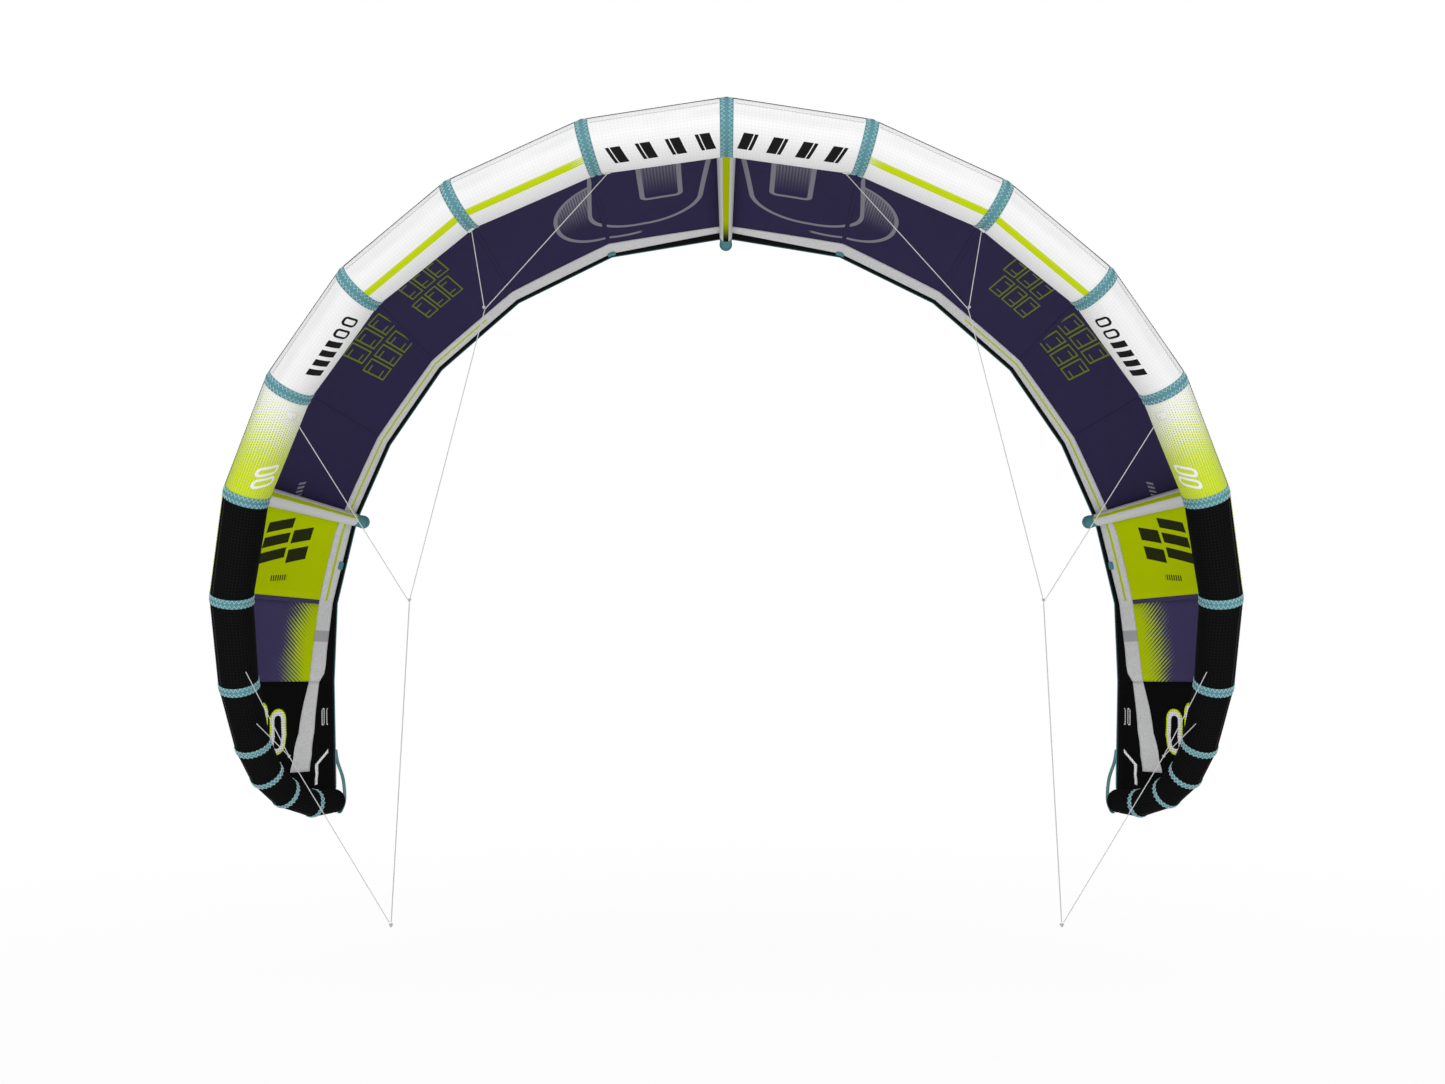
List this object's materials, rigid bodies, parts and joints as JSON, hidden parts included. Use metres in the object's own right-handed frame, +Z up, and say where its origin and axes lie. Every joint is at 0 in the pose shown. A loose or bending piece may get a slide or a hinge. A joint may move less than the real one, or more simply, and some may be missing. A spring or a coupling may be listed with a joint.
{
  "type": "kitesurfing kite",
  "caption": "Arched inflatable kite: tapered leading edge tube, cambered fabric canopy, strut tubes beneath it and a bridle of thin lines to a point below each tip.",
  "frame": {"origin": "centre of the leading edge tube, in the kite plane of symmetry", "axes": "+X along the span towards the right side of someone facing the kite from the front, +Y from the leading edge back to the trailing edge, +Z up in level flight"},
  "size_m": [3.2878, 1.6927, 2.5833],
  "materials": {
    "white_dacron": "coated polyester, satin",
    "lime_dacron": "coated polyester, satin",
    "black_dacron": "coated polyester, satin",
    "teal_tape": "woven tape with zigzag stitching",
    "navy_canopy": "ripstop polyester, semi-gloss",
    "lime_canopy": "ripstop polyester, semi-gloss",
    "violet_canopy": "ripstop polyester, semi-gloss",
    "black_canopy": "ripstop polyester, semi-gloss",
    "grey_dacron": "coated polyester, satin",
    "strut_dacron": "coated polyester, satin",
    "clear_film": "translucent film",
    "bridle_line": "braided line",
    "teal_webbing": "flat webbing",
    "valve_plastic": "moulded, satin",
    "clip_plastic": "moulded, satin",
    "hose": "translucent hose"
  },
  "bodies": {
    "kite": {"leading_edge_centre": "white_dacron", "leading_edge_side_right": "lime_dacron", "leading_edge_side_left": "lime_dacron", "leading_edge_tip_right": "black_dacron", "leading_edge_tip_left": "black_dacron", "leading_edge_bladder": "clear_film", "seam_band_centre": "teal_tape", "seam_band_1_right": "teal_tape", "seam_band_1_left": "teal_tape", "seam_band_2_right": "teal_tape", "seam_band_2_left": "teal_tape", "seam_band_3_right": "teal_tape", "seam_band_3_left": "teal_tape", "seam_band_4_right": "teal_tape", "seam_band_4_left": "teal_tape", "seam_band_5_right": "teal_tape", "seam_band_5_left": "teal_tape", "canopy_centre": "navy_canopy", "canopy_side_right": "lime_canopy", "canopy_side_left": "lime_canopy", "canopy_outer_right": "violet_canopy", "canopy_outer_left": "violet_canopy", "canopy_tip_right": "black_canopy", "canopy_tip_left": "black_canopy", "load_strip": "grey_dacron", "trailing_edge_binding": "black_dacron", "centre_strut": "strut_dacron", "centre_strut_bladder": "clear_film", "centre_strut_cap": "teal_tape", "centre_hose": "hose", "side_strut_right": "strut_dacron", "side_strut_left": "strut_dacron", "side_strut_bladder_right": "clear_film", "side_strut_bladder_left": "clear_film", "side_strut_cap_right": "teal_tape", "side_strut_cap_left": "teal_tape", "side_hose_right": "hose", "side_hose_left": "hose", "valve_base": "valve_plastic", "front_bridle_right": "bridle_line", "front_bridle_left": "bridle_line", "second_bridle_right": "bridle_line", "second_bridle_left": "bridle_line", "middle_bridle_right": "bridle_line", "middle_bridle_left": "bridle_line", "bridle_leader_right": "bridle_line", "bridle_leader_left": "bridle_line", "rear_bridle_right": "bridle_line", "rear_bridle_left": "bridle_line", "tail_bridle_right": "bridle_line", "tail_bridle_left": "bridle_line", "flying_line_knot_right": "bridle_line", "flying_line_knot_left": "bridle_line", "tip_strap_right": "teal_webbing", "tip_strap_left": "teal_webbing"},
    "valve_insert": {"valve_insert": "valve_plastic"},
    "valve_cap": {"valve_cap": "valve_plastic"},
    "centre_clip_lever": {"centre_clip_lever": "clip_plastic"},
    "side_clip_lever_right": {"side_clip_lever_right": "clip_plastic"},
    "side_clip_lever_left": {"side_clip_lever_left": "clip_plastic"}
  },
  "joints": [
    {"name": "valve_insert_turn", "type": "hinge", "parent": "kite", "child": "valve_insert", "pos_m": [-0.16648, 0.06986, -0.0806], "axis": [0.095, 0.7473, -0.6577], "range_deg": [0, 45]},
    {"name": "valve_cap_hinge", "type": "hinge", "parent": "kite", "child": "valve_cap", "pos_m": [-0.19797, 0.07644, -0.08983], "axis": [-0.0792, 0.6643, 0.7433], "range_deg": [0, 140]},
    {"name": "centre_clip_hinge", "type": "hinge", "parent": "kite", "child": "centre_clip_lever", "pos_m": [0.0922, 0.15098, 0.01912], "axis": [-0.3672, 0.4854, 0.7934], "range_deg": [0, 75]},
    {"name": "side_clip_hinge_right", "type": "hinge", "parent": "kite", "child": "side_clip_lever_right", "pos_m": [1.46436, 0.47498, -0.97202], "axis": [0.5448, 0.7697, -0.3328], "range_deg": [0, 75]},
    {"name": "side_clip_hinge_left", "type": "hinge", "parent": "kite", "child": "side_clip_lever_left", "pos_m": [-1.46436, 0.47498, -0.97202], "axis": [0.5448, -0.7697, 0.3328], "range_deg": [0, 75]}
  ]
}
